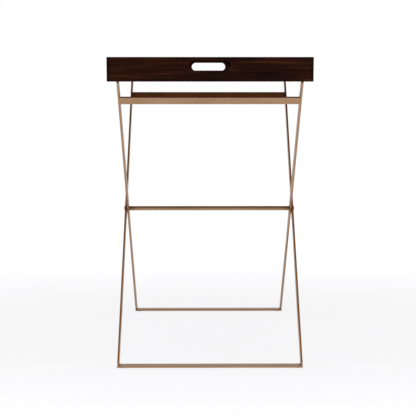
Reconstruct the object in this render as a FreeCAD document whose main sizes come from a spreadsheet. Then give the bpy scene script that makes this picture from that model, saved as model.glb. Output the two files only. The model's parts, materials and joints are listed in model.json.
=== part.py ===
# Folding tray table: a dark wooden butler's tray on two nested X frames of flat metal bar.
# Origin on the floor under the middle of the pivot, +Z up, tray length along Y, lengths in mm.
import FreeCAD, Part
import math
import os
import Sketcher

# Driving dimensions: alias, value and meaning. Everything else is worked out from these.
DIMENSIONS = [
    ("tray_length", 711.0, "tray outside, along Y"),
    ("tray_width", 508.0, "tray outside, along X"),
    ("tray_rise", 60.0, "height of the tray's boards"),
    ("board_thickness", 12.0, "thickness of the four boards"),
    ("panel_thickness", 9.0, "thickness of the tray's bottom panel"),
    ("panel_tongue", 5.0, "how far the panel goes into the boards' grooves"),
    ("tongue_thickness", 6.0, "thickness of the panel's edges, in the grooves"),
    ("panel_gap", 0.5, "between the boards and the thick middle of the panel"),
    ("skirt_depth", 10.0, "how far the boards reach below the panel"),
    ("board_corner", 3.0, "radius of the tray's outer upright corners"),
    ("board_ease", 1.2, "radius of the boards' long edges"),
    ("slot_length", 105.0, "handle slot, end to end"),
    ("slot_opening", 24.5, "handle slot, across"),
    ("slot_centre", 39.4, "slot centre above the tray's lower edge"),
    ("slot_ease", 2.0, "radius round the slot's rims"),
    ("dowel_diameter", 6.0, "corner dowels"),
    ("dowel_in_end", 8.0, "depth of a dowel in an end board"),
    ("dowel_in_side", 16.0, "depth of a dowel in a side board"),
    ("dowel_low", 28.0, "lower dowel above the tray's lower edge"),
    ("dowel_high", 49.0, "upper dowel above the tray's lower edge"),
    ("batten_gap", 0.5, "play between a top rail and its stop batten"),
    ("batten_length", 440.0, "length of the stop battens"),
    ("screw_spacing", 190.0, "between the batten screws"),
    ("screw_diameter", 4.0, "batten screws"),
    ("screw_head", 8.0, "head diameter of the batten screws"),
    ("screw_length", 16.0, "length of the batten screws"),
    ("bar_width", 22.0, "flat bar, wide face"),
    ("bar_thickness", 5.0, "flat bar, thickness"),
    ("bar_ease", 0.6, "radius of the flat bar's edges"),
    ("stand_width", 478.0, "outer frame, outside to outside"),
    ("frame_gap", 1.0, "between an outer leg and the inner leg beside it"),
    ("leg_angle", 40.5, "legs from the vertical, in degrees"),
    ("leg_half_rise", 366.5, "height of a leg above, and below, the pivot"),
    ("glide_thickness", 1.5, "pads under the foot rails"),
    ("glide_diameter", 16.0, "pads under the foot rails"),
    ("glide_inset", 12.0, "pad centre from the end of its rail"),
    ("upper_rail_rise", 318.5, "upper rail above the pivot, along the legs' middle line"),
    ("upper_rail_inset", 1.0, "upper rail behind the legs' outer edges"),
    ("rest_gap", 0.2, "between the tray's panel and the top rails"),
    ("rod_diameter", 12.0, "cross rod between the pivots"),
    ("rod_chamfer", 0.8, "rod end chamfer"),
    ("bolt_diameter", 6.0, "pivot bolts"),
    ("bolt_in_rod", 20.0, "depth of a pivot bolt in the rod"),
    ("bolt_head", 15.0, "dome head diameter"),
    ("bolt_dome", 2.4, "height of the dome above the head's rim"),
    ("bolt_rim", 0.8, "height of the head's rim"),
    ("bolt_socket", 4.0, "hexagon socket, across flats"),
    ("socket_depth", 2.0, "depth of the hexagon socket"),
    ("bush_diameter", 8.0, "sleeve of the pivot bushes"),
    ("bush_flange", 16.0, "flange diameter of the pivot bushes"),
    ("bush_flange_thickness", 0.8, "flange thickness of the pivot bushes"),
    ("running_clearance", 0.05, "bolt in bush, on the radius"),
    ("side_clearance", 0.2, "bolt head off the outer leg"),
]

SHEET = "Dimensions"
SAME_PLACE = 0.01  # two places closer than this count as one
FOOT_TOP = "(d.glide_thickness + d.bar_thickness)"
PIVOT_HEIGHT = f"({FOOT_TOP} + d.leg_half_rise)"
PANEL_UNDERSIDE = f"({PIVOT_HEIGHT} + d.leg_half_rise + d.bar_thickness + d.rest_gap)"
TRAY_UNDERSIDE = f"({PANEL_UNDERSIDE} - d.skirt_depth)"
LEG_REACH = "(d.leg_half_rise * tan(d.leg_angle * 1 deg))"
LEG_HALF_CUT = "(d.bar_width / 2 / cos(d.leg_angle * 1 deg))"
RAIL_INNER = f"({LEG_REACH} - {LEG_HALF_CUT})"
RAIL_OUTER = f"({RAIL_INNER} + d.bar_width)"
TOE_RISE = f"(d.leg_half_rise - (2 * {LEG_HALF_CUT} - d.bar_width) / tan(d.leg_angle * 1 deg))"
INNER_STAND_WIDTH = "(d.stand_width - 2 * d.bar_thickness - 2 * d.frame_gap)"
UNDER_HEAD = "(d.stand_width / 2 + d.side_clearance)"

doc = FreeCAD.newDocument("FoldingTrayTable")
nodes = []


# ---- helpers ----------------------------------------------------------------------------------


def bound(expression):
    """The expression with the short prefix d. turned into the spreadsheet's name."""
    return expression.replace("d.", SHEET + ".")


def number(expression):
    """What an expression in the sheet's cells comes to now."""
    return float(sheet.evalExpression(bound(expression)))


def bind(thing, prop, expression):
    """Ties a property of a document object to the sheet."""
    thing.setExpression(prop, bound(expression))


def make_sheet():
    """The spreadsheet that holds the driving dimensions: name, number and meaning on each row."""
    made = doc.addObject("Spreadsheet::Sheet", SHEET)
    for row, (alias, value, meaning) in enumerate(DIMENSIONS, start=1):
        made.set(f"A{row}", alias)
        made.set(f"B{row}", str(value))
        made.set(f"C{row}", meaning)
        made.setAlias(f"B{row}", alias)
    doc.recompute()
    return made


def place(thing, across="0", along="0", up="0", axis=(0, 0, 1), angle=0.0):
    """Puts a sub-part at a place given by expressions, turned about an axis by degrees."""
    thing.Placement = FreeCAD.Placement(FreeCAD.Vector(), FreeCAD.Rotation(FreeCAD.Vector(*axis), angle))
    for letter, expression in zip("xyz", (across, along, up)):
        bind(thing, f"Placement.Base.{letter}", expression)


def new_body(label):
    """A PartDesign body that is one sub-part of the table."""
    body = doc.addObject("PartDesign::Body", label)
    body.Label = label
    nodes.append(body)
    return body


def new_sketch(body, name, role, offset="0"):
    """A sketch on one of the body's own origin planes, moved along the plane's normal."""
    plane = next(feature for feature in body.Origin.OriginFeatures if feature.Role == role)
    sketch = body.newObject("Sketcher::SketchObject", f"{body.Label}_{name}")
    sketch.AttachmentSupport = [(plane, "")]
    sketch.MapMode = "FlatFace"
    bind(sketch, "AttachmentOffset.Base.z", offset)
    return sketch


def hold_point(sketch, geometry, point, across, up):
    """Ties one point of a sketch to the sketch's origin, at a place given by expressions."""
    for kind, expression, axis in (("DistanceX", across, -2), ("DistanceY", up, -1)):
        if expression == "0":
            sketch.addConstraint(Sketcher.Constraint("PointOnObject", geometry, point, axis))
        else:
            value = number(expression)
            index = sketch.addConstraint(Sketcher.Constraint(kind, -1, 1, geometry, point, value))
            bind(sketch, f"Constraints[{index}]", expression)


def draw_outline(sketch, corners):
    """A closed outline of straight lines through corners, each a pair of expressions."""
    points = [FreeCAD.Vector(number(across), number(up), 0) for across, up in corners]
    first = sketch.GeometryCount
    count = len(points)
    for start, end in zip(points, points[1:] + points[:1]):
        sketch.addGeometry(Part.LineSegment(start, end), False)
    for step in range(count):
        following = first + (step + 1) % count
        sketch.addConstraint(Sketcher.Constraint("Coincident", first + step, 2, following, 1))
    for step, (across, up) in enumerate(corners):
        hold_point(sketch, first + step, 1, across, up)


def draw_rectangle(sketch, left, low, right, high):
    draw_outline(sketch, [(left, low), (right, low), (right, high), (left, high)])


def draw_circle(sketch, across, up, diameter):
    centre = FreeCAD.Vector(number(across), number(up), 0)
    circle = Part.Circle(centre, FreeCAD.Vector(0, 0, 1), number(diameter) / 2)
    index = sketch.addGeometry(circle, False)
    hold_point(sketch, index, 3, across, up)
    size = sketch.addConstraint(Sketcher.Constraint("Diameter", index, number(diameter)))
    bind(sketch, f"Constraints[{size}]", diameter)


def draw_slot(sketch, up, length, opening):
    """A slot with half-round ends, its middle on the sketch's vertical axis."""
    half = f"(({length}) - ({opening})) / 2"
    reach, radius, middle = number(half), number(opening) / 2, number(up)
    for side in (1, -1):
        centre = FreeCAD.Vector(side * reach, middle, 0)
        turn = 0.0 if side > 0 else math.pi
        circle = Part.Circle(centre, FreeCAD.Vector(0, 0, 1), radius)
        sketch.addGeometry(Part.ArcOfCircle(circle, turn - math.pi / 2, turn + math.pi / 2), False)
    for side in (1, -1):
        start = FreeCAD.Vector(side * reach, middle + side * radius, 0)
        end = FreeCAD.Vector(-side * reach, middle + side * radius, 0)
        sketch.addGeometry(Part.LineSegment(start, end), False)
    for arc, line in ((0, 2), (1, 3)):
        other = 1 - arc
        sketch.addConstraint(Sketcher.Constraint("Tangent", arc, 2, line, 1))
        sketch.addConstraint(Sketcher.Constraint("Tangent", line, 2, other, 1))
    hold_point(sketch, 0, 3, half, up)
    hold_point(sketch, 1, 3, f"-({half})", up)
    size = sketch.addConstraint(Sketcher.Constraint("Radius", 0, radius))
    bind(sketch, f"Constraints[{size}]", f"({opening}) / 2")


def pad(body, sketch, length, both_ways=False):
    feature = body.newObject("PartDesign::Pad", f"{body.Label}_pad")
    feature.Profile = sketch
    feature.Midplane = both_ways
    bind(feature, "Length", length)
    doc.recompute()
    return feature


def pocket(body, name, sketch, depth=None, reverse=False):
    """Cuts a sketch out of the body, right through unless a depth is given, and checks that it cut."""
    before = body.Shape.Volume
    feature = body.newObject("PartDesign::Pocket", f"{body.Label}_{name}")
    feature.Profile = sketch
    feature.Reversed = reverse
    if depth is None:
        feature.Type = "ThroughAll"
        feature.Midplane = True
    else:
        bind(feature, "Length", depth)
    doc.recompute()
    if body.Shape.Volume > before - 1:
        raise RuntimeError(f"{feature.Name} cut nothing")
    return feature


def revolve(body, sketch):
    """Turns a sketch drawn above its horizontal axis about that axis."""
    feature = body.newObject("PartDesign::Revolution", f"{body.Label}_turning")
    feature.Profile = sketch
    feature.ReferenceAxis = (sketch, ["H_Axis"])
    feature.Angle = 360
    doc.recompute()
    return feature


def dress_edges(body, kind, name, size_name, size, chosen):
    """Adds a fillet or chamfer on the edges of the body's last feature for which chosen(edge) is true."""
    base = body.Tip
    edges = [f"Edge{i}" for i, edge in enumerate(base.Shape.Edges, start=1) if chosen(edge)]
    if not edges:
        raise RuntimeError(f"{body.Label} has no edges for {name}")
    feature = body.newObject(f"PartDesign::{kind}", f"{body.Label}_{name}")
    feature.Base = (base, edges)
    bind(feature, size_name, size)
    doc.recompute()


def round_edges(body, name, radius, chosen):
    dress_edges(body, "Fillet", name, "Radius", radius, chosen)


def bevel_edges(body, name, size, chosen):
    dress_edges(body, "Chamfer", name, "Size", size, chosen)


def lies_at(edge, axis, place_on_axis):
    """Whether an edge lies whole in the plane where that axis has that value."""
    box = edge.BoundBox
    low, high = {"x": (box.XMin, box.XMax), "y": (box.YMin, box.YMax), "z": (box.ZMin, box.ZMax)}[axis]
    return max(abs(low - place_on_axis), abs(high - place_on_axis)) < SAME_PLACE


def is_upright(edge):
    """Whether an edge runs straight up."""
    box = edge.BoundBox
    return max(box.XLength, box.YLength) < SAME_PLACE


# ---- tray -------------------------------------------------------------------------------------


def tray_end(label, side):
    """An end board with its handle slot, panel groove and dowel holes. Outer face at local y = 0."""
    body = new_body(label)
    plan = new_sketch(body, "plan", "XY_Plane")
    draw_rectangle(plan, "-d.tray_width / 2", "0", "d.tray_width / 2", "d.board_thickness")
    pad(body, plan, "d.tray_rise")

    groove = new_sketch(body, "groove_plan", "XY_Plane", "d.skirt_depth")
    reach = "(d.tray_width / 2 - d.board_thickness + d.panel_tongue)"
    floor = "d.board_thickness - d.panel_tongue"
    draw_rectangle(groove, f"-{reach}", floor, reach, "d.board_thickness")
    pocket(body, "groove", groove, "d.tongue_thickness", reverse=True)

    drill = new_sketch(body, "dowel_places", "XZ_Plane", "-(d.board_thickness - d.dowel_in_end)")
    for sign in ("", "-"):
        for rise in ("d.dowel_low", "d.dowel_high"):
            across = f"{sign}(d.tray_width / 2 - d.board_thickness / 2)"
            draw_circle(drill, across, rise, "d.dowel_diameter")
    pocket(body, "dowel_holes", drill, "d.dowel_in_end")

    round_edges(
        body, "outer_corners", "d.board_corner",
        lambda edge: is_upright(edge) and lies_at(edge, "y", 0),
    )
    top = number("d.tray_rise")
    round_edges(body, "top_edges", "d.board_ease", lambda edge: lies_at(edge, "z", top))

    grip = new_sketch(body, "handle_outline", "XZ_Plane")
    draw_slot(grip, "d.slot_centre", "d.slot_length", "d.slot_opening")
    pocket(body, "handle_slot", grip)
    faces = (0, number("d.board_thickness"))
    slot_low = number("d.slot_centre - d.slot_opening / 2") - SAME_PLACE
    slot_high = number("d.slot_centre + d.slot_opening / 2") + SAME_PLACE
    slot_reach = number("d.slot_length / 2") + SAME_PLACE
    round_edges(
        body, "slot_rims", "d.slot_ease",
        lambda edge: any(lies_at(edge, "y", face) for face in faces)
        and edge.BoundBox.ZMin > slot_low
        and edge.BoundBox.ZMax < slot_high
        and max(abs(edge.BoundBox.XMin), abs(edge.BoundBox.XMax)) < slot_reach,
    )
    place(body, "0", f"{side} * d.tray_length / 2", TRAY_UNDERSIDE, angle=0 if side < 0 else 180)


def tray_side(label, side):
    """A side board between the end boards, grooved for the panel. Outer face at local x = 0."""
    body = new_body(label)
    half = "(d.tray_length / 2 - d.board_thickness)"
    plan = new_sketch(body, "plan", "XY_Plane")
    draw_rectangle(plan, "0", f"-{half}", "d.board_thickness", half)
    pad(body, plan, "d.tray_rise")

    groove = new_sketch(body, "groove_plan", "XY_Plane", "d.skirt_depth")
    draw_rectangle(groove, "d.board_thickness - d.panel_tongue", f"-{half}", "d.board_thickness", half)
    pocket(body, "groove", groove, "d.tongue_thickness", reverse=True)

    for name, offset, backwards in (("front", half, False), ("back", f"-{half}", True)):
        drill = new_sketch(body, f"{name}_dowel_places", "XZ_Plane", offset)
        for rise in ("d.dowel_low", "d.dowel_high"):
            draw_circle(drill, "d.board_thickness / 2", rise, "d.dowel_diameter")
        pocket(body, f"{name}_dowel_holes", drill, "d.dowel_in_side", reverse=backwards)

    top = number("d.tray_rise")
    long_edge = number(half)
    round_edges(
        body, "top_edges", "d.board_ease",
        lambda edge: lies_at(edge, "z", top) and edge.Length > long_edge,
    )
    place(body, f"{side} * d.tray_width / 2", "0", TRAY_UNDERSIDE, angle=0 if side < 0 else 180)


def tray_bottom():
    """The bottom panel: thin edges held in the boards' grooves, and a thick middle between the boards."""
    body = new_body("tray_bottom_panel")
    layers = (
        ("edges", "+ d.panel_tongue", "d.tongue_thickness"),
        ("middle", "- d.panel_gap", "d.panel_thickness"),
    )
    for name, beyond_boards, thickness in layers:
        plan = new_sketch(body, name, "XY_Plane")
        across = f"(d.tray_width / 2 - d.board_thickness {beyond_boards})"
        along = f"(d.tray_length / 2 - d.board_thickness {beyond_boards})"
        draw_rectangle(plan, f"-{across}", f"-{along}", across, along)
        pad(body, plan, thickness)
    place(body, up=PANEL_UNDERSIDE)


BATTEN_INNER = f"({RAIL_OUTER} + d.batten_gap)"
BATTEN_OUTER = "(d.tray_length / 2 - d.board_thickness)"
SCREW_LINE = f"(({BATTEN_INNER} + {BATTEN_OUTER}) / 2)"
SCREW_PLACES = ("-d.screw_spacing", "0", "d.screw_spacing")


def tray_batten(label, side):
    """A batten under the panel that keeps a top rail from sliding outwards."""
    body = new_body(label)
    plan = new_sketch(body, "plan", "XY_Plane")
    depth = f"({BATTEN_OUTER} - {BATTEN_INNER})"
    draw_rectangle(plan, "-d.batten_length / 2", f"-{depth} / 2", "d.batten_length / 2", f"{depth} / 2")
    pad(body, plan, "d.skirt_depth")
    holes = new_sketch(body, "screw_places", "XY_Plane")
    for across in SCREW_PLACES:
        draw_circle(holes, across, "0", "d.screw_diameter")
    pocket(body, "screw_holes", holes)
    bevel_edges(
        body, "countersinks", "(d.screw_head - d.screw_diameter) / 2",
        lambda edge: lies_at(edge, "z", 0) and isinstance(edge.Curve, Part.Circle),
    )
    place(body, "0", f"{side} * {SCREW_LINE}", TRAY_UNDERSIDE)


def compound(label, parts):
    """Several like pieces that share one node, each still a solid of its own."""
    group = doc.addObject("Part::Compound", label)
    group.Label = label
    group.Links = parts
    nodes.append(group)
    doc.recompute()


def tray_screws():
    """Countersunk wood screws, up through the battens into the panel."""
    made = []
    for side in (-1, 1):
        for across in SCREW_PLACES:
            name = f"batten_screw_{len(made) + 1}"
            head = doc.addObject("Part::Cone", f"{name}_head")
            bind(head, "Radius1", "d.screw_head / 2")
            bind(head, "Radius2", "d.screw_diameter / 2")
            bind(head, "Height", "(d.screw_head - d.screw_diameter) / 2")
            shank = doc.addObject("Part::Cylinder", f"{name}_shank")
            bind(shank, "Radius", "d.screw_diameter / 2")
            bind(shank, "Height", "d.screw_length")
            screw = doc.addObject("Part::Fuse", name)
            screw.Base = head
            screw.Tool = shank
            place(screw, across, f"{side} * {SCREW_LINE}", TRAY_UNDERSIDE)
            made.append(screw)
    compound("tray_batten_screws", made)


def tray_dowels():
    """Wooden dowels inside the tray's corner joints."""
    made = []
    for side in (-1, 1):
        for end in (-1, 1):
            for rise in ("d.dowel_low", "d.dowel_high"):
                dowel = doc.addObject("Part::Cylinder", f"corner_dowel_{len(made) + 1}")
                bind(dowel, "Radius", "d.dowel_diameter / 2")
                bind(dowel, "Height", "d.dowel_in_end + d.dowel_in_side")
                across = f"{side} * (d.tray_width / 2 - d.board_thickness / 2)"
                along = f"{end} * (d.tray_length / 2 - d.board_thickness + d.dowel_in_end)"
                place(dowel, across, along, f"{TRAY_UNDERSIDE} + {rise}", (1, 0, 0), 90 * end)
                made.append(dowel)
    compound("tray_corner_dowels", made)


# ---- stand ------------------------------------------------------------------------------------


def leg(label, lean, across, hole):
    """A flat bar through the pivot, cut level at both ends with its toes trimmed upright.

    lean is 1 where the leg's top is at the back and -1 where it is at the front.
    """
    body = new_body(label)
    profile = new_sketch(body, "profile", "YZ_Plane")
    upper = [(RAIL_INNER, "d.leg_half_rise"), (RAIL_OUTER, "d.leg_half_rise"), (RAIL_OUTER, TOE_RISE)]
    corners = [(f"{lean} * {along}", up) for along, up in upper]
    corners += [(f"{-lean} * {along}", f"-{up}") for along, up in upper]
    draw_outline(profile, corners)
    pad(body, profile, "d.bar_thickness", both_ways=True)
    pivot = new_sketch(body, "pivot_place", "YZ_Plane")
    draw_circle(pivot, "0", "0", hole)
    pocket(body, "pivot_hole", pivot)
    shortest = number("d.leg_half_rise")
    round_edges(body, "bar_edges", "d.bar_ease", lambda edge: edge.Length > shortest)
    place(body, across, "0", PIVOT_HEIGHT)


def flat_rail(label, width, along, up, tilt=0.0, wide_up=False):
    """A straight flat bar across the table, lying flat or with its wide face along the legs."""
    body = new_body(label)
    section = new_sketch(body, "section", "YZ_Plane")
    half_wide, half_thin = "d.bar_width / 2", "d.bar_thickness / 2"
    half_along, half_up = (half_thin, half_wide) if wide_up else (half_wide, half_thin)
    draw_rectangle(section, f"-{half_along}", f"-{half_up}", half_along, half_up)
    pad(body, section, width, both_ways=True)
    section_edge = number("d.bar_width") + SAME_PLACE
    round_edges(body, "bar_edges", "d.bar_ease", lambda edge: edge.Length > section_edge)
    place(body, "0", along, up, (1, 0, 0), tilt)


def frame(name, lean, width, hole):
    """The two legs and three rails of one X frame, with the glides under its foot rail."""
    for side_name, side in (("left", -1), ("right", 1)):
        across = f"{side} * ({width} - d.bar_thickness) / 2"
        leg(f"{name}_{side_name}_leg", lean, across, hole)

    rail_middle = f"({RAIL_INNER} + {RAIL_OUTER}) / 2"
    flat_rail(f"{name}_foot_rail", width, f"{-lean} * {rail_middle}", f"{FOOT_TOP} - d.bar_thickness / 2")
    top_height = f"{PIVOT_HEIGHT} + d.leg_half_rise + d.bar_thickness / 2"
    flat_rail(f"{name}_top_rail", width, f"{lean} * {rail_middle}", top_height)

    angle = "(d.leg_angle * 1 deg)"
    offset = "(d.bar_width / 2 - d.upper_rail_inset - d.bar_thickness / 2)"
    along = f"{lean} * (d.upper_rail_rise * tan{angle} + {offset} * cos{angle})"
    up = f"{PIVOT_HEIGHT} + d.upper_rail_rise - {offset} * sin{angle}"
    between_legs = f"({width} - 2 * d.bar_thickness)"
    tilt = -lean * number("d.leg_angle")
    flat_rail(f"{name}_upper_rail", between_legs, along, up, tilt, wide_up=True)

    for side_name, side in (("left", -1), ("right", 1)):
        across = f"{side} * ({width} / 2 - d.glide_inset)"
        glide(f"{name}_{side_name}_glide", across, f"{-lean} * {rail_middle}")


def glide(label, across, along):
    """A thin round pad that keeps a foot rail off the floor."""
    body = new_body(label)
    outline = new_sketch(body, "outline", "XY_Plane")
    draw_circle(outline, "0", "0", "d.glide_diameter")
    pad(body, outline, "d.glide_thickness")
    round_edges(body, "lower_rim", "d.glide_thickness / 3", lambda edge: lies_at(edge, "z", 0))
    place(body, across, along, "0")


def pivot_rod():
    """The round rod that joins the inner legs at the pivot, bored at both ends for the bolts."""
    body = new_body("pivot_rod")
    profile = new_sketch(body, "profile", "XZ_Plane")
    end = f"({INNER_STAND_WIDTH} / 2 - d.bar_thickness)"
    bored = f"({end} - d.bolt_in_rod)"
    bore = "(d.bolt_diameter / 2)"
    rim = "(d.rod_diameter / 2)"
    right = [
        (bored, "0"), (bored, bore), (end, bore), (end, f"{rim} - d.rod_chamfer"),
        (f"({end} - d.rod_chamfer)", rim),
    ]
    left = [(f"-{across}", up) for across, up in reversed(right)]
    draw_outline(profile, right + left)
    revolve(body, profile)
    place(body, up=PIVOT_HEIGHT)


def pivot_bolt(label, side):
    """A dome-headed bolt through the bush and both legs into the rod. The head is at local x > 0."""
    body = new_body(label)
    profile = new_sketch(body, "profile", "XZ_Plane")
    shank_end = f"(-({UNDER_HEAD} - {INNER_STAND_WIDTH} / 2 + d.bar_thickness + d.bolt_in_rod))"
    shank, rim = "(d.bolt_diameter / 2)", "(d.bolt_head / 2)"
    crown = "(d.bolt_rim + d.bolt_dome)"
    corners = [
        (shank_end, "0"), (shank_end, shank), ("0", shank),
        ("0", rim), ("d.bolt_rim", rim), (crown, "0"),
    ]
    points = [FreeCAD.Vector(number(across), number(up), 0) for across, up in corners]
    for start, end in zip(points[:4], points[1:5]):
        profile.addGeometry(Part.LineSegment(start, end), False)
    dome_height, rim_radius = number("d.bolt_dome"), number(rim)
    dome_radius = (rim_radius**2 + dome_height**2) / (2 * dome_height)
    dome_centre = FreeCAD.Vector(number(crown) - dome_radius, 0, 0)
    dome = Part.Circle(dome_centre, FreeCAD.Vector(0, 0, 1), dome_radius)
    profile.addGeometry(Part.ArcOfCircle(dome, 0, math.asin(rim_radius / dome_radius)), False)
    profile.addGeometry(Part.LineSegment(points[5], points[0]), False)
    joined_ends = [(0, 2, 1, 1), (1, 2, 2, 1), (2, 2, 3, 1), (3, 2, 4, 2), (4, 1, 5, 1), (5, 2, 0, 1)]
    for ends in joined_ends:
        profile.addConstraint(Sketcher.Constraint("Coincident", *ends))
    for step in (0, 1, 2, 3, 5):
        hold_point(profile, step, 1, *corners[step])
    hold_point(profile, 3, 2, *corners[4])
    profile.addConstraint(Sketcher.Constraint("PointOnObject", 4, 3, -1))
    revolve(body, profile)

    socket = new_sketch(body, "socket_outline", "YZ_Plane", f"{crown} - d.socket_depth")
    flat, corner = "(d.bolt_socket / 2)", "(d.bolt_socket / 2 / cos(30 * 1 deg))"
    corners_above = [(corner, "0"), (f"{corner} / 2", flat), (f"-{corner} / 2", flat)]
    corners_below = [(f"-{corner}", "0"), (f"-{corner} / 2", f"-{flat}"), (f"{corner} / 2", f"-{flat}")]
    draw_outline(socket, corners_above + corners_below)
    pocket(body, "socket", socket, "d.socket_depth + 1", reverse=True)
    place(body, f"{side} * {UNDER_HEAD}", "0", PIVOT_HEIGHT, angle=0 if side > 0 else 180)


def pivot_bush(label, side):
    """A flanged bush pressed into an outer leg, its flange between the two legs."""
    body = new_body(label)
    profile = new_sketch(body, "profile", "XZ_Plane")
    bore = "(d.bolt_diameter / 2 + d.running_clearance)"
    sleeve, flange = "(d.bush_diameter / 2)", "(d.bush_flange / 2)"
    corners = [
        ("-d.bush_flange_thickness", bore), ("-d.bush_flange_thickness", flange),
        ("0", flange), ("0", sleeve), ("d.bar_thickness", sleeve), ("d.bar_thickness", bore),
    ]
    draw_outline(profile, corners)
    revolve(body, profile)
    inner_face = "(d.stand_width / 2 - d.bar_thickness)"
    place(body, f"{side} * {inner_face}", "0", PIVOT_HEIGHT, angle=0 if side > 0 else 180)


# ---- assembly ---------------------------------------------------------------------------------

sheet = make_sheet()

tray_end("tray_end_front", -1)
tray_end("tray_end_back", 1)
tray_side("tray_side_left", -1)
tray_side("tray_side_right", 1)
tray_bottom()
tray_batten("tray_batten_front", -1)
tray_batten("tray_batten_back", 1)
tray_screws()
tray_dowels()

frame("outer", 1, "d.stand_width", "d.bush_diameter")
frame("inner", -1, INNER_STAND_WIDTH, "d.bolt_diameter")

pivot_rod()
for side_name, side in (("left", -1), ("right", 1)):
    pivot_bolt(f"{side_name}_pivot_bolt", side)
    pivot_bush(f"{side_name}_pivot_bush", side)

doc.recompute()

# ---- checks and files -------------------------------------------------------------------------

for thing in doc.Objects:
    if any(state in thing.State for state in ("Invalid", "Error")):
        raise RuntimeError(f"{thing.Label} failed: {thing.State}")
for node in nodes:
    if node.Shape.isNull() or not node.Shape.isValid():
        raise RuntimeError(f"{node.Label} has no valid shape")

os.makedirs("parts", exist_ok=True)
for node in nodes:
    node.Shape.exportStep(f"parts/{node.Label}.step")
    box = node.Shape.BoundBox
    across = f"x {box.XMin:.1f}..{box.XMax:.1f}"
    along = f"y {box.YMin:.1f}..{box.YMax:.1f}"
    up = f"z {box.ZMin:.1f}..{box.ZMax:.1f}"
    solids, volume = len(node.Shape.Solids), node.Shape.Volume
    print(f"{node.Label}: {solids} solid(s), {volume:.0f} mm3, {across}, {along}, {up}")
print(f"{len(nodes)} sub-parts written")
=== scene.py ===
"""Folding tray table: a dark wooden tray on two nested X frames of satin copper-bronze flat bar."""

import json
import math

import bmesh
import bpy
from mathutils import Matrix, Vector


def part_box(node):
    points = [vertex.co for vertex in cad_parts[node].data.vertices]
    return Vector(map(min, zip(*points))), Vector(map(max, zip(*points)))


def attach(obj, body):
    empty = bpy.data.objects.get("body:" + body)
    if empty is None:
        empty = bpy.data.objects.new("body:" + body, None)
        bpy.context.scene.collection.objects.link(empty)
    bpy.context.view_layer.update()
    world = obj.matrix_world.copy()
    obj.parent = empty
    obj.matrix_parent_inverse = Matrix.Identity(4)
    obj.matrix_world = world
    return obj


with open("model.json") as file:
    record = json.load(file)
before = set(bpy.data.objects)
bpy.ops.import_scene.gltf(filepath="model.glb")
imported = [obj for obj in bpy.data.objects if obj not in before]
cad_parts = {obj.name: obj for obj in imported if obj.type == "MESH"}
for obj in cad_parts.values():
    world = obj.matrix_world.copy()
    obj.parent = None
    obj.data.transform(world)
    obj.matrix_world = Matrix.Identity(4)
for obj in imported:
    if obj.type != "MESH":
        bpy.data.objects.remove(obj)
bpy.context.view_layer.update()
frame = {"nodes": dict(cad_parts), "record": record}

SCENE = bpy.context.scene
SLOTS = {row["node"]: row["material_slot"] for row in frame["record"]["subparts"]}


# ---- places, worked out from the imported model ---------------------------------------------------


def middle(node):
    """The centre of a node's box."""
    low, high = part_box(node)
    return (Vector(low) + Vector(high)) / 2


def half_size(node):
    """Half of a node's box, along each axis."""
    low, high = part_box(node)
    return (Vector(high) - Vector(low)) / 2


PIVOT = middle("pivot_rod")
FRAMES = ("outer", "inner")
SIDES = (("left", -1), ("right", 1))


def leg_lean(frame_name):
    """The angle of a frame's legs from the vertical, positive where their tops are at the back."""
    foot = middle(f"{frame_name}_foot_rail")
    top = middle(f"{frame_name}_top_rail")
    return math.atan2(top.y - foot.y, top.z - foot.z)


# ---- shader nodes -------------------------------------------------------------------------------

# The colour sockets of a Mix node share their names with its other sockets, so they go by number.
MIX_FIRST = 6
MIX_SECOND = 7
MIX_RESULT = 2

# Depths below a board's nearest outer face, in metres: each pair is where a mask starts and ends.
RIM_START = (0.0001, 0.0006)
RIM_END = (0.0012, 0.0018)
CUT_START = (0.0012, 0.0020)


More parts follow.
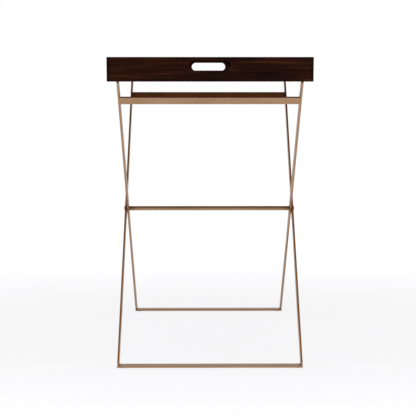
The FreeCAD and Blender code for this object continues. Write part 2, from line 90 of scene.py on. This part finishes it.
class Nodes:
    """A node tree, with short ways to add and join its nodes."""

    def __init__(self, tree):
        self.tree = tree
        self.tree.nodes.clear()

    def add(self, kind, **settings):
        node = self.tree.nodes.new(kind)
        for key, value in settings.items():
            setattr(node, key, value)
        return node

    def join(self, source, target):
        self.tree.links.new(source, target)

    def put(self, value, socket):
        """Gives an input a value: another node's output, a number or a colour."""
        if isinstance(value, bpy.types.NodeSocket):
            self.join(value, socket)
        elif isinstance(value, (int, float)):
            socket.default_value = value
        else:
            socket.default_value = (*value, 1.0)

    def place(self, turn=(0, 0, 0), shift=(0, 0, 0)):
        """The point on the object in metres, turned and then shifted."""
        coordinates = self.add("ShaderNodeTexCoord")
        mapping = self.add("ShaderNodeMapping", vector_type="POINT")
        mapping.inputs["Rotation"].default_value = turn
        mapping.inputs["Location"].default_value = shift
        self.join(coordinates.outputs["Object"], mapping.inputs["Vector"])
        return mapping.outputs["Vector"]

    def vector(self, operation, first, second=None, output="Vector"):
        """Vector arithmetic; second is another node's output or a fixed vector."""
        node = self.add("ShaderNodeVectorMath", operation=operation)
        self.join(first, node.inputs[0])
        if isinstance(second, bpy.types.NodeSocket):
            self.join(second, node.inputs[1])
        elif second is not None:
            node.inputs[1].default_value = second
        return node.outputs[output]

    def split(self, vector):
        """A vector's three parts."""
        node = self.add("ShaderNodeSeparateXYZ")
        self.join(vector, node.inputs["Vector"])
        return [node.outputs[axis] for axis in "XYZ"]

    def noise(self, vector, repeats, detail=4.0, roughness=0.55):
        """Noise with so many repeats per metre along each axis."""
        node = self.add("ShaderNodeTexNoise", noise_dimensions="3D")
        node.inputs["Scale"].default_value = 1.0
        node.inputs["Detail"].default_value = detail
        node.inputs["Roughness"].default_value = roughness
        self.join(self.vector("MULTIPLY", vector, repeats), node.inputs["Vector"])
        return node.outputs["Fac"]

    def between(self, value, low, high, out_low=0.0, out_high=1.0):
        """value mapped smoothly from low..high to out_low..out_high, and held there outside them."""
        node = self.add("ShaderNodeMapRange", interpolation_type="SMOOTHSTEP")
        self.join(value, node.inputs["Value"])
        ends = {"From Min": low, "From Max": high, "To Min": out_low, "To Max": out_high}
        for name, end in ends.items():
            self.put(end, node.inputs[name])
        return node.outputs["Result"]

    def maths(self, operation, first, second=0.0):
        node = self.add("ShaderNodeMath", operation=operation)
        self.put(first, node.inputs[0])
        self.put(second, node.inputs[1])
        return node.outputs["Value"]

    def weighted(self, *pairs):
        """The sum of values, each times its weight."""
        total = None
        for value, weight in pairs:
            term = self.maths("MULTIPLY", value, weight)
            total = term if total is None else self.maths("ADD", total, term)
        return total

    def blend(self, amount, first, second):
        """Mixes two colours, each another node's output or fixed."""
        node = self.add("ShaderNodeMix", data_type="RGBA")
        self.put(amount, node.inputs["Factor"])
        self.put(first, node.inputs[MIX_FIRST])
        self.put(second, node.inputs[MIX_SECOND])
        return node.outputs[MIX_RESULT]

    def blend_shaders(self, amount, first, second):
        """Mixes two shaders."""
        node = self.add("ShaderNodeMixShader")
        self.join(amount, node.inputs["Fac"])
        self.join(first, node.inputs[1])
        self.join(second, node.inputs[2])
        return node.outputs["Shader"]

    def ramp(self, value, stops):
        """Colours along a value: stops are (place, colour) pairs."""
        node = self.add("ShaderNodeValToRGB")
        elements = node.color_ramp.elements
        while len(elements) < len(stops):
            elements.new(0.5)
        for element, (place, colour) in zip(elements, stops):
            element.position = place
            element.color = (*colour, 1.0)
        self.join(value, node.inputs["Fac"])
        return node.outputs["Color"]

    def bump(self, height, strength, distance, below=None):
        """A surface normal tilted by a height; below is the bump that this one lies on."""
        node = self.add("ShaderNodeBump")
        node.inputs["Strength"].default_value = strength
        node.inputs["Distance"].default_value = distance
        self.join(height, node.inputs["Height"])
        if below is not None:
            self.join(below, node.inputs["Normal"])
        return node.outputs["Normal"]

    def near_line(self, y, z, inner, outer):
        """1 near a line along X through (y, z), falling to 0 at the outer distance from it."""
        flat = self.vector("MULTIPLY", self.place(), (0, 1, 1))
        distance = self.vector("DISTANCE", flat, (0, y, z), "Value")
        return self.between(distance, inner, outer, 1.0, 0.0)

    def near_ends(self, node, axis, inner, outer):
        """1 at both ends of a straight piece along an axis, falling to 0 at the outer distance."""
        index = "XYZ".index(axis)
        along = self.split(self.place())[index]
        from_middle = self.maths("ABSOLUTE", self.maths("SUBTRACT", along, middle(node)[index]))
        half = half_size(node)[index]
        return self.between(from_middle, half - outer, half - inner)

    def edges_and_cuts(self, node, width):
        """Three masks on a board: its edges, as wide as width; the rims of its slots; and the walls
        of its slots and grooves."""
        from_centre = self.vector("ABSOLUTE", self.vector("SUBTRACT", self.place(), middle(node)))
        past_faces = self.vector("SUBTRACT", from_centre, half_size(node))
        first, second, third = self.split(self.vector("MULTIPLY", past_faces, (-1, -1, -1)))
        smaller = self.maths("MINIMUM", first, second)
        larger = self.maths("MAXIMUM", first, second)
        nearest_face = self.maths("MINIMUM", smaller, third)
        next_face = self.maths("MAXIMUM", smaller, self.maths("MINIMUM", larger, third))
        edges = self.between(next_face, 0.0, width, 1.0, 0.0)
        off_face = self.between(nearest_face, *RIM_START)
        above_wall = self.between(nearest_face, *RIM_END, 1.0, 0.0)
        rims = self.maths("MULTIPLY", off_face, above_wall)
        return edges, rims, self.between(nearest_face, *CUT_START)


class Shader(Nodes):
    """A material whose surface is one Principled shader."""

    def __init__(self, name):
        self.material = bpy.data.materials.new(name)
        self.material.use_nodes = True
        super().__init__(self.material.node_tree)
        self.output = self.add("ShaderNodeOutputMaterial")
        self.surface = self.add("ShaderNodeBsdfPrincipled")
        self.join(self.surface.outputs["BSDF"], self.output.inputs["Surface"])

    def fixed(self, **values):
        """Sets values on the surface shader's own sockets, each named with _ for a space."""
        for key, value in values.items():
            self.surface.inputs[key.replace("_", " ")].default_value = value

    def colour(self, source):
        self.join(source, self.surface.inputs["Base Color"])

    def roughness(self, source):
        self.join(source, self.surface.inputs["Roughness"])

    def normal(self, source):
        self.join(source, self.surface.inputs["Normal"])


# ---- wood ---------------------------------------------------------------------------------------

ALONG_X = (0, 0, 0)
ALONG_Y = (0, 0, math.radians(-90))
STAIN = [
    (0.39, (0.0065, 0.0011, 0.0003)),
    (0.46, (0.0150, 0.0031, 0.0008)),
    (0.53, (0.0310, 0.0070, 0.0018)),
    (0.61, (0.0770, 0.0210, 0.0070)),
]
STAIN_RED = (0.1200, 0.0330, 0.0130)
# Deepest stain in the pores, and painted shade at board ends and on slot and groove walls.
DEEP_STAIN_AND_SHADE = (0.0040, 0.0012, 0.0008)
# Worn wood, which also serves as a painted highlight on edges and slot rims.
WORN_AND_LIT_EDGE = (0.0900, 0.0320, 0.0170)
PLY_BROWN = (0.230, 0.140, 0.070)
PLY_DARK = (0.120, 0.070, 0.034)
BEECH_DARK = (0.42, 0.27, 0.15)
BEECH_PALE = (0.60, 0.43, 0.26)
GRAIN_SWAY = 0.0018
GRAIN_SHARES = {"blotches": 0.20, "bands": 0.34, "streaks": 0.34, "fibres": 0.12}
EDGE_WIDTH = 0.0016
# Darker end grain, carried on as painted shade across the faces near a board's ends.
END_FULL = 0.0030
END_REACH = 0.0085
END_DARKNESS = 0.8
PORE_DARKNESS = 0.6
SIDE_BLEND = 0.001


def wood_grain(wood, turn, shift):
    """Streaks, fibres, flecks and pores along a board's length, each from 0 to 1."""
    straight = wood.place(turn, shift)
    wander = wood.noise(straight, (2.2, 9.0, 9.0), 3.0, 0.5)
    sway = wood.between(wander, 0.2, 0.8, -GRAIN_SWAY, GRAIN_SWAY)
    drift = wood.add("ShaderNodeCombineXYZ")
    wood.join(sway, drift.inputs["Y"])
    wood.join(sway, drift.inputs["Z"])
    grain = wood.vector("ADD", straight, drift.outputs["Vector"])
    return {
        "blotches": wood.noise(straight, (7.0, 24.0, 24.0), 3.0, 0.5),
        "bands": wood.noise(grain, (3.0, 70.0, 70.0), 4.0, 0.6),
        "streaks": wood.noise(grain, (7.0, 260.0, 260.0), 4.0, 0.6),
        "fibres": wood.noise(grain, (40.0, 1500.0, 1500.0), 3.0, 0.65),
        "flecks": wood.noise(grain, (7.0, 130.0, 130.0), 3.0, 0.5),
        "pores": wood.noise(grain, (110.0, 2600.0, 2600.0), 1.0, 0.5),
    }


def stain_tone(wood, grain):
    """How light the stain is, near 0.5 on average."""
    return wood.weighted(*((grain[name], share) for name, share in GRAIN_SHARES.items()))


def finish_wood(wood, grain, colour):
    """Pores, gloss and relief that every stained board has."""
    open_pores = wood.between(grain["pores"], 0.60, 0.70)
    pore_stain = wood.maths("MULTIPLY", open_pores, PORE_DARKNESS)
    wood.colour(wood.blend(pore_stain, colour, DEEP_STAIN_AND_SHADE))
    wood.roughness(wood.between(grain["streaks"], 0.3, 0.7, 0.46, 0.62))
    relief = wood.bump(open_pores, 0.25, -0.00008)
    wood.normal(wood.bump(grain["fibres"], 0.12, 0.00006, relief))
    wood.fixed(Specular_IOR_Level=0.08)


def stained_wood(node, turn, shift):
    """Dark stained board: brown and reddish streaks; worn edges and slot rims that also carry a painted
    highlight; darker end grain, spread as painted shade onto the faces near its ends; painted shade on
    the walls of its slots and grooves.
    """
    wood = Shader(f"wood_{node}")
    grain = wood_grain(wood, turn, shift)
    red_flecks = wood.between(grain["flecks"], 0.57, 0.72, 0.0, 0.6)
    colour = wood.blend(red_flecks, wood.ramp(stain_tone(wood, grain), STAIN), STAIN_RED)
    # End grain is darker, with painted shade on the faces beside it where the rounded corners turn from
    # the light.
    ends = wood.near_ends(node, "X" if turn == ALONG_X else "Y", END_FULL, END_REACH)
    colour = wood.blend(wood.maths("MULTIPLY", ends, END_DARKNESS), colour, DEEP_STAIN_AND_SHADE)
    edges, rims, cuts = wood.edges_and_cuts(node, EDGE_WIDTH)
    # Edges and slot rims: real wear plus a painted highlight where they catch the light.
    wear_and_highlight_amount = wood.between(grain["flecks"], 0.4, 0.6, 0.1, 0.6)
    worn_and_lit = wood.maths("MULTIPLY", wood.maths("MAXIMUM", edges, rims), wear_and_highlight_amount)
    colour = wood.blend(worn_and_lit, colour, WORN_AND_LIT_EDGE)
    # Slot and groove walls take painted shade.
    finish_wood(wood, grain, wood.blend(cuts, colour, DEEP_STAIN_AND_SHADE))
    return wood.material


def panel_wood(node, turn, shift):
    """The tray's bottom: stained like the boards above, and plain brown underneath."""
    wood = Shader(f"wood_{node}")
    grain = wood_grain(wood, turn, shift)
    tone = stain_tone(wood, grain)
    red_flecks = wood.between(grain["flecks"], 0.60, 0.75, 0.0, 0.45)
    above = wood.blend(red_flecks, wood.ramp(tone, STAIN), STAIN_RED)
    below = wood.blend(wood.between(tone, 0.40, 0.60), PLY_BROWN, PLY_DARK)
    height = wood.split(wood.place())[2]
    level = middle(node).z
    upper_side = wood.between(height, level - SIDE_BLEND, level + SIDE_BLEND)
    finish_wood(wood, grain, wood.blend(upper_side, below, above))
    return wood.material


def raw_beech(name):
    """Pale unstained wood of the hidden dowels."""
    wood = Shader(name)
    rays = wood.noise(wood.place(), (900, 60, 900), 3.0)
    wood.colour(wood.ramp(rays, [(0.35, BEECH_DARK), (0.65, BEECH_PALE)]))
    wood.normal(wood.bump(rays, 0.2, 0.0001))
    wood.fixed(Roughness=0.7)
    return wood.material


# ---- metal --------------------------------------------------------------------------------------

BRONZE = (0.415, 0.252, 0.148)
BRONZE_DEEP = (0.360, 0.208, 0.115)
BRONZE_PALE = (0.475, 0.300, 0.183)
# The darkest bronze: real patina in pits and scratches, and painted shade near the joints.
PATINA_AND_SHADE = (0.190, 0.098, 0.042)
ZINC_HAZED = (0.42, 0.39, 0.33)
ZINC_CLEAN = (0.60, 0.58, 0.53)
TURNING_RATE = 14000.0  # radians of ring pattern per metre from the middle of a bolt head

# How near each place the painted shade is full, and where it ends, in metres.
PIVOT_SHADE_REACH = (0.008, 0.022)
JOINT_SHADE_REACH = (0.006, 0.016)
ROD_END_SHADE_REACH = (0.002, 0.030)
FOOT_END_SHADE_REACH = (0.002, 0.005)
ROD_SMOOTHNESS = 0.06


def satin_bronze(name, turn, shift, joint_shade=None, smoothness=0.0):
    """Copper-bronze metal brushed along its length. The optional function of the metal says where
    painted shade darkens it near joints.
    """
    metal = Shader(name)
    point = metal.place(turn, shift)
    clouds = metal.noise(point, (7, 16, 16), 4.0, 0.6)
    lines = metal.noise(point, (22, 2600, 2600), 4.0, 0.7)
    scratches = metal.noise(point, (45, 1300, 1300), 2.0, 0.5)
    pits = metal.noise(point, (900, 1300, 1300), 1.0, 0.5)
    tone = metal.weighted((clouds, 0.7), (lines, 0.3))
    tint = metal.ramp(tone, [(0.34, BRONZE_DEEP), (0.50, BRONZE), (0.66, BRONZE_PALE)])
    dark_pits = metal.between(pits, 0.68, 0.80, 0.0, 0.5)
    dark_scratches = metal.between(scratches, 0.66, 0.80, 0.0, 0.3)
    tint = metal.blend(metal.maths("MAXIMUM", dark_pits, dark_scratches), tint, PATINA_AND_SHADE)
    # Painted shade near the joints, ragged at its edge.
    if joint_shade is not None:
        ragged = metal.between(clouds, 0.3, 0.7, 0.55, 0.95)
        tint = metal.blend(metal.maths("MULTIPLY", joint_shade(metal), ragged), tint, PATINA_AND_SHADE)
    metal.colour(tint)
    uneven = metal.weighted((clouds, 0.5), (lines, 0.5))
    metal.roughness(metal.between(uneven, 0.35, 0.65, 0.20 - smoothness, 0.36 - smoothness))
    metal.normal(metal.bump(lines, 0.14, 0.00004))
    metal.fixed(Metallic=1.0)
    return metal.material


def turned_bronze(name):
    """The same metal on the dome heads, with fine rings from turning."""
    metal = Shader(name)
    flat = metal.vector("MULTIPLY", metal.place(), (0, 1, 1))
    radius = metal.vector("DISTANCE", flat, (0, PIVOT.y, PIVOT.z), "Value")
    rings = metal.maths("SINE", metal.maths("MULTIPLY", radius, TURNING_RATE))
    clouds = metal.noise(metal.place(), (260, 260, 260), 3.0)
    metal.colour(metal.ramp(clouds, [(0.3, BRONZE_DEEP), (0.6, BRONZE), (0.8, BRONZE_PALE)]))
    metal.roughness(metal.between(clouds, 0.3, 0.7, 0.24, 0.38))
    metal.normal(metal.bump(rings, 0.06, 0.00004))
    metal.fixed(Metallic=1.0)
    return metal.material


def weld_metal(name):
    """Weld beads: the same bronze finish over darker, slightly rougher metal."""
    metal = Shader(name)
    scale = metal.noise(metal.place(), (700, 700, 700), 4.0, 0.6)
    metal.colour(metal.ramp(scale, [(0.35, PATINA_AND_SHADE), (0.55, BRONZE_DEEP), (0.75, BRONZE)]))
    metal.roughness(metal.between(scale, 0.3, 0.7, 0.36, 0.55))
    metal.normal(metal.bump(scale, 0.3, 0.0001))
    metal.fixed(Metallic=1.0)
    return metal.material


def zinc(name):
    """Batten screws: zinc-plated steel with a faint yellow haze."""
    metal = Shader(name)
    haze = metal.noise(metal.place(), (520, 520, 520), 4.0, 0.6)
    metal.colour(metal.ramp(haze, [(0.3, ZINC_HAZED), (0.7, ZINC_CLEAN)]))
    metal.roughness(metal.between(haze, 0.3, 0.7, 0.28, 0.44))
    metal.fixed(Metallic=1.0)
    return metal.material


def leg_joint_shade(frame_name):
    """Legs get painted shade at the pivot, and where they meet their foot rail and top rail."""
    lines = [(PIVOT, PIVOT_SHADE_REACH)]
    for rail in ("foot_rail", "top_rail"):
        lines.append((middle(f"{frame_name}_{rail}"), JOINT_SHADE_REACH))

    def joint_shade(metal):
        most = None
        for line, reach in lines:
            amount = metal.near_line(line.y, line.z, *reach)
            most = amount if most is None else metal.maths("MAXIMUM", most, amount)
        return most

    return joint_shade


def end_joint_shade(node, reach):
    """Foot rails and the rod get painted shade next to the legs that they meet."""
    return lambda metal: metal.near_ends(node, "X", *reach)


# ---- rubber and nylon ---------------------------------------------------------------------------

RUBBER_BROWN = (0.075, 0.048, 0.032)
RUBBER_DUSTY = (0.150, 0.105, 0.078)
NYLON_DARK = (0.030, 0.022, 0.017)
NYLON_BROWN = (0.050, 0.037, 0.029)


def brown_rubber(name):
    """Glides: matte brown rubber, a little dusty."""
    rubber = Shader(name)
    dust = rubber.noise(rubber.place(), (400, 400, 400), 5.0, 0.7)
    rubber.colour(rubber.ramp(dust, [(0.4, RUBBER_BROWN), (0.75, RUBBER_DUSTY)]))
    rubber.roughness(rubber.between(dust, 0.3, 0.8, 0.62, 0.88))
    rubber.normal(rubber.bump(dust, 0.3, 0.0001))
    return rubber.material


def nylon(name):
    """Pivot bushes: dark brown moulded nylon."""
    plastic = Shader(name)
    mottle = plastic.noise(plastic.place(), (700, 700, 700), 3.0, 0.6)
    plastic.colour(plastic.ramp(mottle, [(0.35, NYLON_DARK), (0.7, NYLON_BROWN)]))
    plastic.roughness(plastic.between(mottle, 0.3, 0.7, 0.42, 0.58))
    plastic.normal(plastic.bump(mottle, 0.15, 0.00005))
    return plastic.material


# ---- finish on the CAD nodes --------------------------------------------------------------------

STRETCH_STEP = Vector((0.37, 0.11, 0.23))  # from one piece's stretch of the pattern to the next
FRONT_STRETCH = 25  # of a hundred tried on the front board, the most like the real board's streaks
STRETCH_NUMBERS = {"tray_end_front": FRONT_STRETCH}


def shift_for(node):
    """A different stretch of the pattern for each piece, so that no two match."""
    number = STRETCH_NUMBERS.get(node, sorted(SLOTS).index(node))
    return STRETCH_STEP * number


def bronze_for(node, shift):
    """Satin bronze brushed along a leg, a rail or the rod."""
    name = f"bronze_{node}"
    if "leg" in node:
        frame_name = node.split("_")[0]
        turn = (leg_lean(frame_name) - math.pi / 2, 0, math.pi / 2)
        return satin_bronze(name, turn, shift, leg_joint_shade(frame_name))
    if node == "pivot_rod":
        return satin_bronze(name, ALONG_X, shift, end_joint_shade(node, ROD_END_SHADE_REACH), ROD_SMOOTHNESS)
    if "foot" in node:
        return satin_bronze(name, ALONG_X, shift, end_joint_shade(node, FOOT_END_SHADE_REACH))
    return satin_bronze(name, ALONG_X, shift)


def wood_for(node, shift):
    """Stained wood with its grain along the board's length."""
    if node == "tray_bottom_panel":
        return panel_wood(node, ALONG_Y, shift)
    return stained_wood(node, ALONG_Y if "side" in node else ALONG_X, shift)


def paint_frame():
    """A finished material on every CAD node, by the record's material slots."""
    shared = {
        "bolt_bronze": turned_bronze("turned_bronze"),
        "glide_rubber": brown_rubber("brown_rubber"),
        "bush_nylon": nylon("moulded_nylon"),
        "screw_steel": zinc("zinc_plate"),
        "dowel_wood": raw_beech("raw_beech"),
    }
    made = {"dark_wood": wood_for, "bronze_bar": bronze_for}
    for node in sorted(SLOTS):
        slot = SLOTS[node]
        material = made[slot](node, shift_for(node)) if slot in made else shared[slot]
        materials = frame["nodes"][node].data.materials
        materials.clear()
        materials.append(material)


# ---- weld beads ---------------------------------------------------------------------------------

BEAD_RADIUS = 0.0016
BEAD_SEGMENTS = 14
BEAD_TIP = 0.05  # the smallest ring of a bead's rounded end, as a share of its radius
RIPPLE_LENGTH = 0.0022
RIPPLE_HEIGHT = 0.10
RINGS_PER_RIPPLE = 6
WELD_SUNK = 0.0004
FOOT_WELD_MARGIN = 0.002
UPPER_WELD_BACK = 0.0028
UPPER_WELD_REACH = 0.009


def bead_ring(made, along, length):
    """One ring of a bead's points, at a distance along it."""
    ripple = 1 + RIPPLE_HEIGHT * abs(math.sin(math.pi * along / RIPPLE_LENGTH))
    from_end = min(along, length - along) / BEAD_RADIUS
    taper = math.sqrt(1 - (1 - min(from_end, 1)) ** 2)
    radius = BEAD_RADIUS * ripple * max(taper, BEAD_TIP)
    ring = []
    for step in range(BEAD_SEGMENTS):
        angle = 2 * math.pi * step / BEAD_SEGMENTS
        ring.append(made.verts.new((radius * math.cos(angle), radius * math.sin(angle), along)))
    return ring


def weld_bead(name, start, end, body, material):
    """A rippled bead of weld from start to end, its ends rounded, that rides on a frame."""
    start, end = Vector(start), Vector(end)
    length = (end - start).length
    spans = int(length / RIPPLE_LENGTH * RINGS_PER_RIPPLE)
    made = bmesh.new()
    rings = [bead_ring(made, length * number / spans, length) for number in range(spans + 1)]
    made.faces.new(reversed(rings[0]))
    for ring, next_ring in zip(rings, rings[1:]):
        for step in range(BEAD_SEGMENTS):
            following = (step + 1) % BEAD_SEGMENTS
            made.faces.new((ring[step], ring[following], next_ring[following], next_ring[step]))
    made.faces.new(rings[-1])
    turn = (end - start).to_track_quat("Z", "Y").to_matrix().to_4x4()
    bmesh.ops.transform(made, matrix=Matrix.Translation(start) @ turn, verts=made.verts)
    bmesh.ops.recalc_face_normals(made, faces=made.faces)
    for face in made.faces:
        face.smooth = True
    mesh = bpy.data.meshes.new(name)
    made.to_mesh(mesh)
    made.free()
    bead = bpy.data.objects.new(name, mesh)
    SCENE.collection.objects.link(bead)
    bead.data.materials.append(material)
    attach(bead, body)


def weld_frames():
    """Beads inside each leg where it stands on its foot rail, and behind the ends of the upper rails."""
    material = weld_metal("weld_bronze")
    for frame_name in FRAMES:
        body = f"{frame_name}_frame"
        rail_low, rail_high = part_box(f"{frame_name}_foot_rail")
        upper = middle(f"{frame_name}_upper_rail")
        lean = leg_lean(frame_name)
        up_leg = Vector((0, math.sin(lean), math.cos(lean)))
        back = Vector((0, math.cos(lean), -math.sin(lean)))
        for side_name, side in SIDES:
            leg_low, leg_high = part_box(f"{frame_name}_{side_name}_leg")
            inner_face = leg_high[0] if side < 0 else leg_low[0]
            at = inner_face - side * WELD_SUNK
            foot = rail_high[2] + WELD_SUNK
            front_end = (at, rail_low[1] + FOOT_WELD_MARGIN, foot)
            back_end = (at, rail_high[1] - FOOT_WELD_MARGIN, foot)
            weld_bead(f"{frame_name}_{side_name}_foot_weld", front_end, back_end, body, material)
            rail_back = Vector((at, upper.y, upper.z)) + back * UPPER_WELD_BACK
            low_end = rail_back - up_leg * UPPER_WELD_REACH
            high_end = rail_back + up_leg * UPPER_WELD_REACH
            weld_bead(f"{frame_name}_{side_name}_upper_weld", low_end, high_end, body, material)


# ---- stage, light and camera --------------------------------------------------------------------

FLOOR_RADIUS = 2.4
FLOOR_SEGMENTS = 96
FLOOR_DROP = 0.0002
FLOOR_PALE = (0.80, 0.81, 0.845, 1.0)
FLOOR_GLOW = (1.073, 1.079, 1.106)
FLOOR_SHADE_MIDDLE = 0.15  # the middle of the floor's painted shade, behind the pivot
FLOOR_SHADE_ACROSS = 2.2  # how many times wider than deep the painted shade is
FLOOR_SHADE_FROM = 0.20  # the painted shade fades out between these distances from its middle
FLOOR_SHADE_TO = 1.5
LEAST_GLOW = 0.75  # the glow's share of the floor in the middle of the painted shade
SHADE_FROM = -0.05  # the floor's reflection dims between these two lines, from front to back
SHADE_TO = 0.12
SHADED_GLOW = 0.70

# Light levels of the studio around. The rises say how far up each change starts and ends, and
# FRONT_TO_BACK how far back, all as parts of a direction one long.
FRONT_LOW = 0.12
FRONT_HIGH = 0.62
FRONT_RISE = (0.04, 0.32)
BACK_LIGHT = 0.66
FRONT_TO_BACK = (-0.6, 0.6)
CEILING = (0.47, 0.33, 0.19)
CEILING_RISE = (0.5, 0.9)
WHITE = (1, 1, 1, 1)

SOFTBOX_WIDTH = 2.0
SOFTBOX_HEIGHT = 2.4
SOFTBOX_OUT = 2.6
SOFTBOX_BACK = -0.8
SOFTBOX_UP = 1.0
SOFTBOX_WATTS = {"left": 14, "right": 12}

CAMERA_PLACE = (-0.0188, -2.825, 0.7594)
CAMERA_DOWN = 0.1233  # radians below level
CAMERA_TURN = -0.00546  # radians, a little to the right
CAMERA_LENS = 86.6
CAMERA_SENSOR = 36.0
CAMERA_SHIFT = -0.03


def pale_floor():
    """A pale floor that glows softly: less around the table, as painted shade, and less again in its
    reflection behind the pivot, as a painted shadow.
    """
    pale = Shader("pale_floor")
    pale.fixed(Base_Color=FLOOR_PALE, Roughness=0.9, Specular_IOR_Level=0.1)
    from_middle = pale.place(shift=(0, -FLOOR_SHADE_MIDDLE, 0))
    stretched = pale.vector("MULTIPLY", from_middle, (1 / FLOOR_SHADE_ACROSS, 1, 0))
    distance = pale.vector("LENGTH", stretched, output="Value")
    share = pale.between(distance, FLOOR_SHADE_FROM, FLOOR_SHADE_TO, LEAST_GLOW, 1.0)
    behind = pale.between(pale.split(pale.place())[1], SHADE_FROM, SHADE_TO)
    mirrored = pale.add("ShaderNodeLightPath").outputs["Is Glossy Ray"]
    shaded = pale.maths("MULTIPLY", behind, mirrored)
    glow = pale.add("ShaderNodeEmission")
    glow.inputs["Color"].default_value = (*FLOOR_GLOW, 1.0)
    pale.join(pale.between(shaded, 0.0, 1.0, 1.0, SHADED_GLOW), glow.inputs["Strength"])
    mixed = pale.blend_shaders(share, pale.surface.outputs["BSDF"], glow.outputs["Emission"])
    pale.join(mixed, pale.output.inputs["Surface"])
    return pale.material


def studio_floor():
    """A disc of floor that ends in the white around it."""
    mesh = bpy.data.meshes.new("studio_floor")
    made = bmesh.new()
    bmesh.ops.create_circle(made, cap_ends=True, segments=FLOOR_SEGMENTS, radius=FLOOR_RADIUS)
    bmesh.ops.translate(made, verts=made.verts, vec=(0, 0, -FLOOR_DROP))
    made.to_mesh(mesh)
    made.free()
    ground = bpy.data.objects.new("studio_floor", mesh)
    SCENE.collection.objects.link(ground)
    mesh.materials.append(pale_floor())


def studio_world():
    """A studio seen as plain white, which lights the table most from behind and least from the front."""
    world = bpy.data.worlds.new("studio")
    SCENE.world = world
    world.use_nodes = True
    studio = Nodes(world.node_tree)
    direction = studio.add("ShaderNodeTexCoord").outputs["Generated"]
    back, up = studio.split(direction)[1:]
    front_level = studio.between(up, *FRONT_RISE, FRONT_LOW, FRONT_HIGH)
    level = studio.between(back, *FRONT_TO_BACK, front_level, BACK_LIGHT)
    around = studio.add("ShaderNodeCombineColor")
    for channel in ("Red", "Green", "Blue"):
        studio.join(level, around.inputs[channel])
    light = studio.blend(studio.between(up, *CEILING_RISE), around.outputs["Color"], CEILING)
    lighting = studio.add("ShaderNodeBackground")
    studio.join(light, lighting.inputs["Color"])
    seen = studio.add("ShaderNodeBackground")
    seen.inputs["Color"].default_value = WHITE
    direct = studio.add("ShaderNodeLightPath").outputs["Is Camera Ray"]
    chosen = studio.blend_shaders(direct, lighting.outputs["Background"], seen.outputs["Background"])
    output = studio.add("ShaderNodeOutputWorld")
    studio.join(chosen, output.inputs["Surface"])


def softboxes():
    """A tall soft light at each side that points at the middle of the table."""
    for side_name, side in SIDES:
        name = f"{side_name}_softbox"
        data = bpy.data.lights.new(name, "AREA")
        data.shape = "RECTANGLE"
        data.size = SOFTBOX_WIDTH
        data.size_y = SOFTBOX_HEIGHT
        data.energy = SOFTBOX_WATTS[side_name]
        lamp = bpy.data.objects.new(name, data)
        SCENE.collection.objects.link(lamp)
        lamp.location = (side * SOFTBOX_OUT, SOFTBOX_BACK, SOFTBOX_UP)
        lamp.rotation_euler = (PIVOT - lamp.location).to_track_quat("-Z", "Y").to_euler()


def camera():
    """The camera stands square on to the front end, a little left of the middle, at tray height."""
    data = bpy.data.cameras.new("camera")
    data.sensor_width = CAMERA_SENSOR
    data.lens = CAMERA_LENS
    data.shift_y = CAMERA_SHIFT
    eye = bpy.data.objects.new("camera", data)
    SCENE.collection.objects.link(eye)
    eye.location = CAMERA_PLACE
    eye.rotation_euler = (math.radians(90) - CAMERA_DOWN, 0.0, CAMERA_TURN)
    SCENE.camera = eye


paint_frame()
weld_frames()
studio_floor()
studio_world()
softboxes()
camera()
SCENE.view_settings.view_transform = "Standard"
